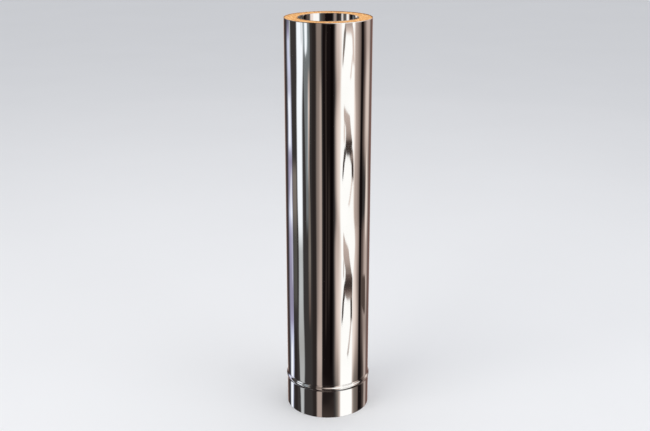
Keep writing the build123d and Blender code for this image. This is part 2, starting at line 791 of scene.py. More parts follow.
@dataclass(frozen=True)
class View:
    """Where the camera stands, in front of the pipe's axis."""

    distance: float
    height: float

    def mirrored(self, spot: np.ndarray, normal: np.ndarray, ring_radius: float) -> np.ndarray:
        """Traces the camera's rays off spots on the steel to a ring round the pipe's axis.

        Args:
            spot: Array of x, y, z rows on the steel.
            normal: Unit normals of the steel there.
            ring_radius: Radius of the ring.

        Returns:
            Array of x, y, z rows on the ring.
        """
        ray = spot - np.array([0.0, -self.distance, self.height])
        ray /= np.linalg.norm(ray, axis=-1, keepdims=True)
        ray -= 2 * (ray * normal).sum(axis=-1, keepdims=True) * normal
        flat = ray[..., 0] ** 2 + ray[..., 1] ** 2
        across = spot[..., 0] * ray[..., 0] + spot[..., 1] * ray[..., 1]
        reach = ring_radius ** 2 - spot[..., 0] ** 2 - spot[..., 1] ** 2
        travel = (-across + np.sqrt(np.maximum(across ** 2 + flat * reach, 0.0))) / flat
        return spot + ray * travel[..., None]


class Chart(Protocol):
    """A rule that places a card where the camera sees it mirrored at given spots on the steel."""

    def place(self, bearing: np.ndarray, height: np.ndarray) -> np.ndarray:
        """Gives an x, y, z row for each bearing and height."""


@dataclass(frozen=True)
class MirrorChart:
    """Turns a spot on the straight shell into the spot of the card ring that is mirrored there."""

    view: View
    shell_radius: float
    shell_length: float
    ring_radius: float
    ring_bottom: float = -9.0
    ring_top: float = 5.0

    def place(self, bearing: np.ndarray, height: np.ndarray) -> np.ndarray:
        """Works out where cards go.

        Args:
            bearing: Bearings on the shell in degrees, from the front towards +X.
            height: Heights on the shell in metres; past either end the card runs straight on up or down.

        Returns:
            Array of x, y, z rows on the ring.
        """
        phi = np.radians(bearing)
        normal = np.stack([np.sin(phi), -np.cos(phi), np.zeros_like(phi)], axis=-1)
        spot = normal * self.shell_radius
        spot[..., 2] = np.clip(height, 0.0, self.shell_length)
        hit = self.view.mirrored(spot, normal, self.ring_radius)
        above = np.clip((height - self.shell_length) / RUN_ON, 0.0, 1.0)
        below = np.clip(-height / RUN_ON, 0.0, 1.0)
        hit[..., 2] += above * (self.ring_top - hit[..., 2]) + below * (self.ring_bottom - hit[..., 2])
        return hit

    def nearer(self, step: float) -> "MirrorChart":
        """The same chart for a ring that stands a step further in."""
        return replace(self, ring_radius=self.ring_radius - step)


@dataclass(frozen=True)
class BoreChart:
    """Turns a spot inside the flue's far wall into the spot of the glowing sheet of painted reflection that is
    mirrored there.
    """

    view: View
    bore_radius: float
    rim_height: float
    ring_radius: float

    def place(self, bearing: np.ndarray, depth: np.ndarray) -> np.ndarray:
        """Works out where the lining goes.

        Args:
            bearing: Bearings on the far wall in degrees, from the back towards +X.
            depth: Depths as shares of the depth that the camera sees at that bearing.

        Returns:
            Array of x, y, z rows on the glowing sheet.
        """
        phi = np.radians(bearing)
        normal = np.stack([-np.sin(phi), -np.cos(phi), np.zeros_like(phi)], axis=-1)
        spot = -normal * self.bore_radius
        steepness = (self.view.height - self.rim_height) / self.view.distance
        seen = 2 * self.bore_radius * np.cos(phi) * steepness
        spot[..., 2] = self.rim_height - depth * seen
        return self.view.mirrored(spot, normal, self.ring_radius)


def glowing_sheet(name: str, points: np.ndarray, shine: np.ndarray, glow: bpy.types.Material) -> None:
    """Makes a stage mesh that only the steel mirrors.

    Args:
        name: Name of the sheet.
        points: Grid of x, y, z places, rows by columns.
        shine: Grid of red, green, blue and cover.
        glow: Material that shows the stored light.
    """
    rows, columns = points.shape[:2]
    start = np.arange(rows - 1)[:, None] * columns + np.arange(columns - 1)[None, :]
    corners = [start, start + 1, start + columns + 1, start + columns]
    sheet = mesh_piece(name, points.reshape(-1, 3), np.stack(corners, axis=-1).reshape(-1, 4))
    stored = sheet.data.color_attributes.new("glow", "FLOAT_COLOR", "POINT")
    stored.data.foreach_set("color", shine.ravel())
    sheet.data.materials.append(glow)
    sheet.visible_camera = False
    sheet.visible_diffuse = False
    sheet.visible_shadow = False
    sheet.visible_transmission = False
    sheet.visible_volume_scatter = False
    sheet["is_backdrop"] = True


@dataclass(frozen=True)
class StripCard:
    """An upright card with soft edges that stands in a ring round the pipe and shows only in the steel.

    Its rows give its left and right edges at several heights. It has one tone, or tones that run from height
    to height. The softness of its left and right edges is in degrees, and that of its ends in metres.
    """

    name: str
    rows: tuple[Row, ...]
    tones: Tone | tuple[Stop, ...]
    soft: tuple[float, float] = (1.5, 1.5)
    ends: float = 0.0
    cover: float = 1.0

    def build(self, chart: Chart, glow: bpy.types.Material, tint: Colour) -> None:
        """Makes the card as a stage mesh that glows.

        Args:
            chart: Chart that places the card's spots in its ring.
            glow: The material that all cards share.
            tint: Tint of the steel that the card is looked at in.
        """
        rows = np.array(sorted(self.rows))
        columns = CARD_COLUMNS + int(COLUMNS_PER_DEGREE * (rows[:, 2] - rows[:, 1]).max())
        height = np.linspace(rows[0, 0], rows[-1, 0], CARD_LEVELS)
        left = self._eased(height, rows[:, 0], rows[:, 1])
        right = self._eased(height, rows[:, 0], rows[:, 2])
        share = 0.5 - 0.5 * np.cos(np.linspace(0.0, math.pi, columns))
        bearing = left[:, None] + (right - left)[:, None] * share[None, :]
        level = np.repeat(height[:, None], columns, axis=1)
        shine = self._shine(bearing, level, left, right, tint)
        glowing_sheet(self.name, chart.place(bearing, level), shine, glow)

    def _eased(self, height: np.ndarray, known: np.ndarray, values: np.ndarray) -> np.ndarray:
        """Interpolates between the rows and rounds the corners off.

        Args:
            height: Heights to read at.
            known: Heights of the rows.
            values: Bearings of one edge at those heights.

        Returns:
            Bearings of the edge at the heights to read at.
        """
        straight = np.interp(height, known, values)
        padded = np.pad(straight, 2, mode="edge")
        return np.convolve(padded, np.array([1, 2, 3, 2, 1]) / 9, mode="valid")

    def _shine(
        self, bearing: np.ndarray, level: np.ndarray, left: np.ndarray, right: np.ndarray, tint: Colour,
    ) -> np.ndarray:
        """Works out the light and cover of each vertex.

        Args:
            bearing: Bearing of each vertex.
            level: Height of each vertex.
            left: Left edge at each level.
            right: Right edge at each level.
            tint: Tint of the steel.

        Returns:
            Array of red, green, blue and cover.
        """
        stops = ((0.0, self.tones),) if isinstance(self.tones, Tone) else self.tones
        known = np.array([stop[0] for stop in stops])
        lights = np.array([stop[1].light(tint) for stop in stops])
        colour = [np.interp(level, known, lights[:, i]) for i in range(3)]
        cover = smooth_step((bearing - left[:, None]) / max(self.soft[0], SHARPEST))
        cover = cover * smooth_step((right[:, None] - bearing) / max(self.soft[1], SHARPEST))
        if self.ends > 0:
            cover = cover * smooth_step((level - level.min()) / self.ends)
            cover = cover * smooth_step((level.max() - level) / self.ends)
        return np.stack([*colour, cover * self.cover], axis=-1)


@dataclass(frozen=True)
class Hood:
    """A dark arched hood, a pale gusset above it and a cord below it, mirrored in the broad window."""

    name: str
    left_arm: tuple[Row, ...]
    right_arm: tuple[Row, ...]
    crown: tuple[Row, ...]
    cord: tuple[Row, ...]
    gusset: tuple[Row, ...] = ()
    cord_tones: Tone | tuple[Stop, ...] = Tone.SAND
    arm_tones: Tone | tuple[Stop, ...] = Tone.COFFEE
    far_tones: Tone | tuple[Stop, ...] = Tone.COFFEE
    crown_tones: Tone | tuple[Stop, ...] = Tone.COFFEE
    gusset_tones: Tone | tuple[Stop, ...] = Tone.BEIGE

    def cards(self) -> list[StripCard]:
        """Makes the hood's cards.

        Returns:
            The cards, back to front.
        """
        name = self.name
        made = [
            StripCard(name + "_left_arm", self.left_arm, self.arm_tones, soft=(0.9, 1.0), ends=0.02),
            StripCard(name + "_right_arm", self.right_arm, self.far_tones, soft=(1.4, 1.0), ends=0.02),
            StripCard(name + "_crown", self.crown, self.crown_tones, soft=(1.6, 1.6), ends=0.012),
            StripCard(name + "_cord", self.cord, self.cord_tones, soft=(0.9, 0.9), ends=0.008, cover=0.8),
        ]
        if self.gusset:
            made.insert(0, StripCard(
                name + "_gusset", self.gusset, self.gusset_tones, soft=(0.9, 1.2), ends=0.014,
            ))
        return made


# Walls of the room behind the camera, and the lights that the back of the shell mirrors.
ROOM = (
    StripCard("backdrop", ((LOW, -92, 92), (HIGH, -92, 92)), Tone.CHARCOAL, soft=(0.0, 0.0)),
    StripCard("back_wall_left", ((LOW, -92, -71.5), (HIGH, -92, -71.5)), Tone.RUST, soft=(0.0, 2.0)),
    StripCard("back_wall_right", ((LOW, 68, 92), (HIGH, 68, 92)), Tone.RUSSET, soft=(2.5, 9.0)),
    StripCard(
        "back_light_left", ((LOW, -91, -77.5), (HIGH, -91, -77.5)),
        Tone.SAND, soft=(5.0, 4.0), cover=0.8,
    ),
    StripCard(
        "back_light_right", ((LOW, 77.5, 91), (HIGH, 77.5, 91)),
        Tone.BEIGE, soft=(5.0, 4.0), cover=0.7,
    ),
)

# The lilac window on the far left, with its panes and the panel beside it.
LILAC_WINDOW = (
    StripCard(
        "lilac_window",
        ((LOW, -66.9, -56.2), (0.03, -67, -55.9), (0.12, -67, -54.3), (0.2, -66.8, -54.5),
         (0.3, -69.2, -54.3), (0.45, -68.9, -53.6), (0.6, -68.7, -54.0), (0.7, -68.6, -54.2),
         (0.8, -67.4, -55.0), (0.9, -68.0, -55.3), (1.0, -68.7, -56.3), (HIGH, -69, -56.5)),
        ((0.0, Tone.PALE_LILAC), (0.22, Tone.PALE_LILAC), (0.26, Tone.LILAC), (0.3, Tone.HEATHER),
         (0.4, Tone.HEATHER), (0.47, Tone.LILAC), (0.5, Tone.LILAC), (0.56, Tone.PALE_LILAC),
         (0.62, Tone.LILAC), (0.68, Tone.LILAC), (0.71, Tone.HEATHER), (0.74, Tone.PALE_LILAC),
         (0.85, Tone.PALE_LILAC), (0.895, Tone.LAVENDER), (0.94, Tone.PALE_LILAC), (1.0, Tone.PALE_LILAC),
         (1.018, Tone.LILAC), (1.035, Tone.LILAC_GREY)),
        soft=(6.5, 2.2),
    ),
    StripCard(
        "upper_pane", ((0.715, -65, -57), (0.8, -64, -56.5), (0.88, -66, -56.5)),
        Tone.COOL_WHITE, soft=(3.0, 2.0), ends=0.04, cover=0.8,
    ),
    StripCard(
        "lower_pane", ((-0.1, -65.5, -58.4), (0.1, -65, -57.0), (0.22, -63, -57)),
        Tone.COOL_WHITE, soft=(2.6, 2.2), ends=0.05, cover=0.9,
    ),
    StripCard(
        "pane_glint", ((0.5, -60, -55.5), (0.6, -61.5, -56), (0.7, -58.5, -55.5)),
        Tone.COOL_WHITE, soft=(1.8, 1.6), ends=0.06, cover=0.75,
    ),
    StripCard(
        "pane_edge", ((0.94, -61, -56.6), (1.0, -60.2, -56.0), (1.07, -60.2, -56.0)),
        Tone.SILVER, soft=(1.6, 1.4), ends=0.03, cover=0.9,
    ),
    StripCard(
        "pane_rim", ((0.34, -59.6, -55.6), (0.56, -59.6, -55.6)),
        Tone.LAVENDER, soft=(1.2, 1.2), ends=0.05, cover=0.6,
    ),
    StripCard(
        "panel_brown", ((0.28, -55, -46), (0.45, -55, -46), (0.72, -54.5, -46)),
        ((0.3, Tone.SLATE), (0.5, Tone.SLATE), (0.58, Tone.DRIFTWOOD), (0.66, Tone.DRIFTWOOD)),
        soft=(1.6, 1.6), ends=0.06,
    ),
    StripCard(
        "panel_low", ((LOW, -54, -46), (0.1, -54, -46), (0.27, -53.5, -47.5)),
        Tone.SOOT, soft=(2.0, 2.5), ends=0.05, cover=0.7,
    ),
)

# The narrow white window left of the middle, and the panels beside it.
COOL_WINDOW = (
    StripCard(
        "cool_window",
        ((LOW, -41.4, -34.4), (0.02, -41.4, -34.4), (0.05, -42.6, -34.0), (0.1, -43.2, -33.0),
         (0.15, -44.0, -32.8), (0.22, -45.6, -33.1), (0.3, -45.0, -34.3), (0.4, -44.4, -34.2),
         (0.5, -44.6, -34.4), (0.6, -46.0, -34.4), (0.7, -46.0, -34.7), (0.8, -45.8, -34.9),
         (0.86, -45.8, -34.6), (0.9, -45.0, -34.0), (0.95, -44.8, -32.9), (1.0, -44.9, -32.5),
         (HIGH, -45.2, -32.3)),
        ((0.0, Tone.SILVER), (0.2, Tone.ASH), (0.35, Tone.SILVER), (0.47, Tone.SILVER),
         (0.53, Tone.COOL_WHITE), (1.055, Tone.COOL_WHITE), (1.075, Tone.SLATE)),
        soft=(2.4, 2.6),
    ),
    StripCard(
        "window_bar", ((0.99, -37.6, -34.8), (1.06, -37.6, -34.8)),
        Tone.SILVER, soft=(1.2, 1.2), ends=0.02, cover=0.6,
    ),
    StripCard(
        "teal_panel",
        ((0.5, -30, -24.8), (0.62, -30.5, -25), (0.7, -31.5, -25), (0.9, -34, -25), (1.14, -34, -25)),
        ((0.6, Tone.STONE), (0.97, Tone.STONE), (1.0, Tone.MIST), (1.05, Tone.MIST)),
        soft=(1.6, 0.8), ends=0.08,
    ),
    StripCard(
        "teal_edge", ((0.62, -28.5, -25), (0.7, -29, -25), (0.85, -28.5, -25), (0.95, -27.5, -25)),
        Tone.MIST, soft=(1.8, 0.8), ends=0.08, cover=0.8,
    ),
    StripCard(
        "high_lamp",
        ((0.965, -30.8, -29.4), (0.985, -31.6, -27.9), (1.0, -31.6, -27.4), (1.066, -31.8, -26.8)),
        Tone.COOL_WHITE, soft=(1.0, 1.2), ends=0.02,
    ),
    StripCard(
        "thin_frame",
        ((0.24, -26.8, -22.8), (0.45, -26.8, -22.2), (0.6, -26.8, -22.8), (0.7, -27.2, -24.2),
         (0.9, -27.2, -23.6), (1.0, -27.4, -23.4), (1.13, -27.6, -24.0)),
        ((0.3, Tone.UMBER), (0.45, Tone.DRIFTWOOD), (0.62, Tone.DRIFTWOOD), (0.75, Tone.BEIGE),
         (0.85, Tone.SAND), (0.9, Tone.BEIGE), (0.95, Tone.STONE)),
        soft=(1.2, 1.2), ends=0.08,
    ),
    StripCard(
        "shade_left", ((LOW, -23.4, -15), (HIGH, -23.4, -15)),
        Tone.SOOT, soft=(4.0, 0.8), cover=0.8,
    ),
)

# The curtain and the black flag in the middle.
CURTAIN_AND_FLAG = (
    StripCard(
        "taupe_curtain",
        ((LOW, -17.0, -7.4), (0.1, -16.6, -7.4), (0.3, -16.2, -7.1), (0.5, -16.0, -7.0),
         (0.8, -16.1, -7.2), (HIGH, -17.2, -8.0)),
        ((0.0, Tone.CLAY), (0.15, Tone.CLAY), (0.2, Tone.BEIGE), (0.3, Tone.TAUPE), (0.5, Tone.FAWN),
         (1.05, Tone.FAWN)),
        soft=(3.0, 1.6),
    ),
    StripCard(
        "curtain_light",
        ((0.08, -14.5, -7.2), (0.3, -14, -6.9), (0.5, -13, -7.0), (0.84, -12.5, -7.2),
         (0.96, -12.0, -7.4)),
        Tone.BEIGE, soft=(4.0, 1.5), ends=0.1, cover=0.8,
    ),
    StripCard(
        "flag_camera_side",
        ((LOW, -8.0, 11.2), (0.05, -7.8, 10.6), (0.12, -7.6, 9.6), (0.5, -7.0, 9.6), (0.85, -7.2, 9.6),
         (HIGH, -8.2, 9.6)),
        ((0.0, Tone.COFFEE), (0.045, Tone.SOOT), (0.12, Tone.BLACK), (0.5, Tone.BLACK)), soft=(1.5, 3.6),
    ),
    StripCard(
        "flag_core", ((0.13, 2.6, 7.6), (1.2, 2.6, 7.6)),
        Tone.JET, soft=(1.4, 2.2), ends=0.04, cover=0.8,
    ),
    StripCard(
        "flag_seam_left", ((0.2, -3.4, -0.8), (1.1, -3.6, -1.0)),
        Tone.COFFEE, soft=(1.0, 1.0), ends=0.1, cover=0.6,
    ),
    StripCard(
        "flag_seam_right", ((0.24, -0.6, 3.0), (0.78, -0.6, 3.2)),
        Tone.COFFEE, soft=(1.2, 1.2), ends=0.2, cover=0.5,
    ),
)

# The broad window right of the middle, with its wall and curtain.
MAIN_WINDOW = (
    StripCard(
        "beige_wall",
        ((LOW, 10.4, 47), (0.06, 9.4, 47), (0.1, 8.0, 47), (0.14, 7.8, 47), (0.2, 7.8, 47),
         (0.3, 8.3, 47), (0.4, 7.6, 47), (0.5, 7.1, 47), (0.53, 7.6, 47), (0.56, 9.2, 47),
         (0.585, 8.8, 47), (0.62, 7.6, 47), (0.84, 6.9, 47), (0.88, 8.8, 47), (0.92, 7.4, 47),
         (HIGH, 7.1, 47)),
        ((0.0, Tone.DRIFTWOOD), (0.1, Tone.DRIFTWOOD), (0.18, Tone.CLAY), (0.3, Tone.SAND),
         (0.54, Tone.BEIGE), (0.8, Tone.SAND), (0.9, Tone.BEIGE), (1.05, Tone.SAND)),
        soft=(5.0, 1.6),
    ),
    StripCard(
        "cream_wall",
        ((LOW, 13, 40), (0.1, 13, 40), (0.2, 12.5, 43), (0.3, 12, 44), (0.54, 13.5, 40), (0.6, 10.5, 42),
         (0.75, 10, 42), (0.84, 11, 42), (0.9, 13, 40), (HIGH, 11, 41)),
        ((0.0, Tone.SAND), (0.1, Tone.SAND), (0.2, Tone.CREAM)), soft=(5.0, 7.0), cover=0.9,
    ),
    StripCard(
        "main_window",
        ((LOW, 16.2, 36.8), (0.05, 16.2, 36.8), (0.2, 16.4, 36.4), (0.4, 16.8, 36.8), (0.45, 16.6, 38.5),
         (0.49, 16.2, 41), (0.53, 15.6, 39), (0.56, 14.8, 36.0), (0.7, 14.4, 35.8), (0.8, 15.2, 36.2),
         (0.9, 15.0, 36.2), (0.97, 16.4, 36.2), (HIGH, 14.6, 37.2)),
        Tone.WHITE, soft=(2.4, 2.6),
    ),
    StripCard(
        "curtain_fold",
        ((0.525, 37, 47), (0.545, 35.5, 47), (0.58, 34.4, 47), (0.68, 34.7, 47), (0.74, 35.4, 47),
         (0.8, 36, 47), (0.86, 35.6, 47), (0.9, 34.6, 47), (0.95, 34.8, 47), (HIGH, 35.2, 47)),
        Tone.CLAY, soft=(3.0, 0.5), ends=0.02, cover=0.9,
    ),
    StripCard(
        "wall_shade",
        ((LOW, 37.5, 47), (0.11, 38.5, 47), (0.15, 39.0, 47), (0.2, 40.8, 47), (0.3, 39.5, 47),
         (0.4, 37.4, 47), (0.48, 40, 47), (0.53, 40.3, 47), (0.57, 38.2, 47), (0.85, 38, 47),
         (0.9, 37, 47), (HIGH, 37, 47)),
        Tone.UMBER, soft=(9.0, 0.5), cover=0.85,
    ),
)

# The second flag and the door on the far right.
DOOR = (
    StripCard(
        "flag_right",
        ((LOW, 45.4, 56), (0.1, 45.6, 56), (0.2, 46, 56), (0.5, 45.6, 56), (0.54, 44.8, 56),
         (0.58, 44.3, 56), (0.68, 44.4, 56), (0.75, 44.8, 53), (0.88, 44.6, 53), (HIGH, 44.6, 53)),
        Tone.BLACK, soft=(2.4, 3.4),
    ),
    StripCard(
        "umber_panel",
        ((LOW, 52.5, 59), (0.1, 53, 60), (0.18, 50.5, 60), (0.3, 50.4, 61.5), (0.53, 50.4, 59),
         (0.56, 52, 61), (0.68, 51, 61), (0.75, 49.5, 59), (0.9, 50, 59), (0.95, 51, 59), (1.0, 50, 59),
         (HIGH, 49, 59)),
        ((0.0, Tone.COFFEE), (0.15, Tone.COFFEE), (0.3, Tone.UMBER), (0.52, Tone.UMBER),
         (0.56, Tone.CHARCOAL), (0.66, Tone.CHARCOAL), (0.75, Tone.UMBER), (1.05, Tone.UMBER)),
        soft=(2.5, 1.0),
    ),
    StripCard(
        "beige_door",
        ((LOW, 55.6, 71), (0.1, 57, 71), (0.17, 54.6, 71), (0.22, 53.4, 71), (0.28, 52, 71),
         (0.36, 52.8, 71), (0.4, 53.6, 71), (0.51, 53.2, 71), (0.54, 55.6, 71), (0.6, 57, 71),
         (0.65, 57.6, 71), (0.69, 54, 71), (0.72, 52.2, 71), (0.8, 52, 71), (0.9, 51.8, 71),
         (0.95, 53.4, 71), (1.0, 52, 71), (HIGH, 49.8, 71)),
        ((0.0, Tone.BEIGE), (0.15, Tone.BEIGE), (0.25, Tone.TAUPE), (0.35, Tone.BEIGE), (0.5, Tone.BEIGE),
         (0.56, Tone.SAND), (0.62, Tone.SAND), (0.7, Tone.BEIGE), (0.78, Tone.SAND), (0.92, Tone.SAND),
         (1.0, Tone.BEIGE)),
        soft=(8.5, 7.0),
    ),
    StripCard(
        "door_tab",
        ((0.272, 59, 63.6), (0.29, 57, 64.2), (0.31, 51.5, 64.4), (0.345, 50.5, 64.2), (0.37, 51, 64.0),
         (0.398, 52.5, 62.5)),
        Tone.PEAT, soft=(3.0, 2.2), ends=0.015,
    ),
    StripCard(
        "door_glint", ((0.46, 60.5, 66), (0.6, 59.8, 65), (0.75, 60.5, 65.5)),
        Tone.CREAM, soft=(1.6, 2.6), ends=0.06, cover=0.8,
    ),
)

# The three hoods mirrored in the broad window, and the thin pale lines beside two of them.
HIGH_HOOD = Hood(
    "high_hood",
    left_arm=((0.94, 17.6, 19.4), (0.97, 18.0, 20.7), (0.99, 18.4, 21.8), (1.01, 19.0, 22.7),
              (1.02, 19.4, 23.3), (1.035, 20.6, 24.2), (1.06, 21.0, 24.8)),
    right_arm=((0.94, 32.8, 36.0), (0.97, 31.6, 35.2), (1.01, 30.8, 34.8), (1.02, 29.2, 34.2),
               (1.03, 27.6, 33.4), (1.038, 27.2, 32.4), (1.06, 27.0, 32.0)),
    crown=((1.013, 22.4, 32.0), (1.03, 21.8, 32.0), (1.06, 21.2, 31.8)),
    cord=((0.912, 27.4, 30.4), (0.93, 28.6, 31.2), (0.945, 29.4, 32.0), (0.965, 30.6, 33.6),
          (0.98, 31.6, 34.0)),
    arm_tones=((0.96, Tone.TAUPE), (0.99, Tone.DRIFTWOOD), (1.02, Tone.DRIFTWOOD), (1.04, Tone.TAUPE)),
    far_tones=((1.0, Tone.SAND), (1.02, Tone.SAND), (1.045, Tone.TAUPE)),
    crown_tones=((1.022, Tone.SAND), (1.042, Tone.CLAY)),
)
MIDDLE_HOOD = Hood(
    "middle_hood",
    left_arm=((0.655, 18.0, 19.6), (0.685, 18.4, 21.2), (0.705, 18.9, 22.2), (0.725, 19.9, 24.0),
              (0.745, 20.8, 26.0), (0.757, 23.0, 26.0)),
    right_arm=((0.65, 31.4, 35.2), (0.68, 31.0, 35.2), (0.7, 30.8, 35.0), (0.72, 28.0, 34.6),
               (0.74, 27.0, 33.4), (0.755, 27.0, 32.4)),
    crown=((0.719, 25.0, 31.6), (0.73, 23.6, 32.2), (0.742, 21.8, 32.4), (0.757, 22.6, 33.0),
           (0.77, 23.2, 31.8)),
    cord=((0.592, 26.2, 29.6), (0.6, 26.6, 30.2), (0.612, 28.2, 31.0), (0.63, 29.4, 32.2),
          (0.655, 30.8, 33.6), (0.67, 31.8, 34.0)),
    gusset=((0.745, 22.5, 33.4), (0.765, 22.8, 32.6), (0.78, 23.2, 31.4), (0.8, 22.8, 30.4),
            (0.812, 20.4, 29.8), (0.825, 19.9, 29.4), (0.84, 19.9, 23.6), (0.855, 19.9, 21.4)),
    far_tones=((0.7, Tone.COFFEE), (0.722, Tone.TAUPE), (0.74, Tone.UMBER)),
    gusset_tones=((0.765, Tone.FAWN), (0.79, Tone.CLAY), (0.82, Tone.BEIGE)),
)
LOW_HOOD = Hood(
    "low_hood",
    left_arm=((0.265, 17.9, 19.8), (0.3, 18.5, 21.6), (0.33, 19.0, 22.2), (0.35, 19.9, 23.6),
              (0.37, 20.6, 25.6), (0.385, 21.4, 26.0), (0.398, 23.0, 26.0)),
    right_arm=((0.265, 30.8, 35.4), (0.3, 31.0, 35.2), (0.335, 30.6, 35.0), (0.36, 29.0, 35.2),
               (0.4, 28.0, 35.2), (0.41, 28.0, 34.8)),
    crown=((0.332, 26.0, 35.0), (0.346, 23.4, 35.0), (0.36, 20.6, 35.0), (0.38, 21.4, 35.2),
           (0.398, 23.0, 35.2), (0.416, 23.6, 34.0)),
    cord=((0.172, 26.0, 28.8), (0.185, 26.4, 29.8), (0.2, 27.4, 30.8), (0.225, 28.9, 32.0),
          (0.26, 30.6, 33.8), (0.286, 31.6, 34.4)),
    cord_tones=((0.18, Tone.TAUPE), (0.21, Tone.BEIGE), (0.27, Tone.BEIGE)),
    gusset=((0.385, 22.4, 33.6), (0.4, 22.8, 34.4), (0.42, 23.2, 33.0), (0.44, 21.6, 31.2),
            (0.46, 20.0, 29.8), (0.48, 19.8, 28.6), (0.5, 19.8, 23.8), (0.52, 19.8, 21.4),
            (0.53, 19.9, 21.0)),
    crown_tones=((0.345, Tone.TAUPE), (0.362, Tone.UMBER), (0.374, Tone.COFFEE), (0.388, Tone.COFFEE),
                 (0.4, Tone.UMBER)),
    gusset_tones=((0.4, Tone.TAUPE), (0.42, Tone.FAWN), (0.44, Tone.CLAY), (0.48, Tone.BEIGE)),
)
HOOD_LINES = (
    StripCard(
        "middle_hood_line", ((0.75, 19.8, 23.4), (0.815, 19.8, 23.0)),
        Tone.SAND, soft=(1.0, 1.6), ends=0.02, cover=0.8,
    ),
    StripCard(
        "low_hood_line", ((0.39, 19.8, 22.2), (0.46, 19.8, 22.2)),
        Tone.CLAY, soft=(1.0, 1.0), ends=0.02, cover=0.8,
    ),
)


def bands() -> list[StripCard]:
    """The cards whose reflections run down the shell, back to front and from left to right."""
    hoods = [*HIGH_HOOD.cards(), *MIDDLE_HOOD.cards(), *LOW_HOOD.cards(), *HOOD_LINES]
    return [*ROOM, *LILAC_WINDOW, *COOL_WINDOW, *CURTAIN_AND_FLAG, *MAIN_WINDOW, *DOOR, *hoods]


@dataclass(frozen=True)
class FlueReflectionSheet:
    """One-sided glowing sheet inside the flue, a painted reflection: the flue's bright wall mirrors it as
    upright streaks of light and shade.

    Its streaks run from bearing to bearing across the far wall, as the camera sees it.
    """

    # Painted reflection: the tones of light and shade that the flue's far wall mirrors, bearing by bearing.
    streaks: tuple[Stop, ...] = (
        (-77, Tone.STONE), (-72, Tone.STONE), (-67, Tone.UMBER), (-62, Tone.SOOT), (-59.5, Tone.SOOT),
        (-57.5, Tone.SLATE), (-55.5, Tone.SLATE), (-54, Tone.BLACK), (-49.5, Tone.BLACK), (-47, Tone.COFFEE),
        (-43, Tone.UMBER), (-38, Tone.SLATE), (-36.4, Tone.SAND), (-34, Tone.CREAM), (-31, Tone.CREAM),
        (-29, Tone.WHITE), (-18.5, Tone.WHITE), (-16.5, Tone.STONE), (-14, Tone.SLATE), (-8, Tone.COFFEE),
        (-6.6, Tone.COFFEE), (-5.6, Tone.BLACK), (7.8, Tone.BLACK), (9.8, Tone.SLATE), (11.4, Tone.TAUPE),
        (14.6, Tone.TAUPE), (16.6, Tone.SLATE), (18, Tone.SOOT), (20, Tone.SOOT), (22, Tone.COFFEE),
        (25, Tone.SOOT), (26.6, Tone.ASH), (28.8, Tone.CREAM), (31, Tone.STONE), (33, Tone.SLATE),
        (36, Tone.UMBER), (38, Tone.SILVER), (40.5, Tone.WHITE), (43, Tone.CREAM), (45.4, Tone.UMBER),
        (48, Tone.SOOT), (53, Tone.BLACK), (57, Tone.STONE), (59.5, Tone.STONE), (62, Tone.COFFEE),
        (65.5, Tone.CREAM), (72, Tone.CREAM), (75, Tone.TAUPE), (77, Tone.SOOT),
    )
    middle_half: float = 61.0
    middle_bottom: float = 7.0
    side_bottom: float = 0.75
    top_bearings: tuple[float, ...] = (38.0, 46.0, 61.0, 61.01)
    top_depths: tuple[float, ...] = (-0.5, -0.05, -0.05, -0.2)
    rows: int = 25
    columns_per_degree: int = 4

    def build(self, chart: BoreChart, glow: bpy.types.Material, tint: Colour) -> None:
        """Makes the painted reflection as a stage mesh that glows.

        Args:
            chart: Chart that places the glowing sheet in the flue.
            glow: Material that shows the stored light on the side that faces the axis.
            tint: Tint of the steel that the glowing sheet is looked at in.
        """
        known = np.array([stop[0] for stop in self.streaks], dtype=float)
        lights = np.array([stop[1].light(tint) for stop in self.streaks])
        edge, half = known[-1], self.middle_half
        # Three glowing sheets of painted reflection, on the left, in the middle and on the right of the far
        # wall.
        for name, left, right, bottom in (
            ("flue_reflection_left", -edge, -half, self.side_bottom),
            ("flue_reflection_middle", -half, half, self.middle_bottom),
            ("flue_reflection_right", half, edge, self.side_bottom),
        ):
            around = np.linspace(left, right, 1 + int(self.columns_per_degree * (right - left)))
            top = np.interp(np.abs(around), self.top_bearings, self.top_depths)
            share = np.linspace(0.0, 1.0, self.rows)[:, None]
            depth = bottom + (top - bottom)[None, :] * share
            bearing = np.repeat(around[None, :], self.rows, axis=0)
            light = [np.interp(bearing, known, lights[:, i]) for i in range(3)]
            shine = np.stack([*light, np.ones_like(depth)], axis=-1)
            glowing_sheet(name, chart.place(bearing, depth), shine, glow)


@dataclass(frozen=True)
class SoftLight:
    """A large rectangular studio light aimed at a point, not mirrored in the steel."""

    name: str
    place: Triple
    aim: Triple
    width: float
    height: float
    power: float
    colour: Colour = (1.0, 1.0, 1.0)

    def build(self) -> None:
        """Makes the light and turns it to its aim."""
        data = bpy.data.lights.new(self.name, "AREA")
        data.shape = "RECTANGLE"
        data.size = self.width
        data.size_y = self.height
        data.energy = self.power
        data.color = self.colour
        lamp = bpy.data.objects.new(self.name, data)
        lamp.location = self.place
        away = Vector(self.aim) - Vector(self.place)
        lamp.rotation_euler = away.to_track_quat("-Z", "Y").to_euler()
        lamp.visible_glossy = False
        bpy.context.scene.collection.objects.link(lamp)


